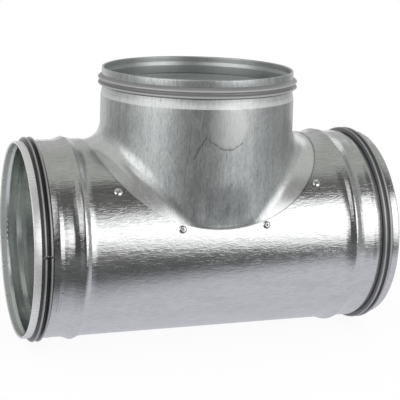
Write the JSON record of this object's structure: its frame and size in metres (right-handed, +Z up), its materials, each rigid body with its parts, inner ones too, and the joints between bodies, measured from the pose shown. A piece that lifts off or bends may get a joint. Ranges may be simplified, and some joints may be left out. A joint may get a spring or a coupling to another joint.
{
  "type": "pipe tee",
  "caption": "Equal duct tee of galvanised sheet steel with a pressed saddle branch riveted to a run tube, and a double lip seal on each spigot",
  "frame": {"origin": "on the branch axis, at the height of the lowest seal lip under the run", "axes": "+X along the run to the right, +Y away from the viewer, +Z up along the branch"},
  "size_m": [0.3008, 0.164, 0.2192],
  "materials": {
    "run_tube": "galvanised sheet steel, rolled, satin with a fine mottle",
    "branch_saddle": "galvanised sheet steel, pressed, satin with fine upright drawing lines",
    "gasket": "grey rubber, satin",
    "rivet": "bright blind rivet",
    "mandrel": "steel mandrel, broken off"
  },
  "bodies": {
    "root": {"run_tube": "run_tube", "branch_saddle": "branch_saddle", "gasket_left": "gasket", "gasket_right": "gasket", "gasket_branch": "gasket", "rivets": "rivet", "rivet_mandrels": "mandrel"}
  },
  "joints": []
}
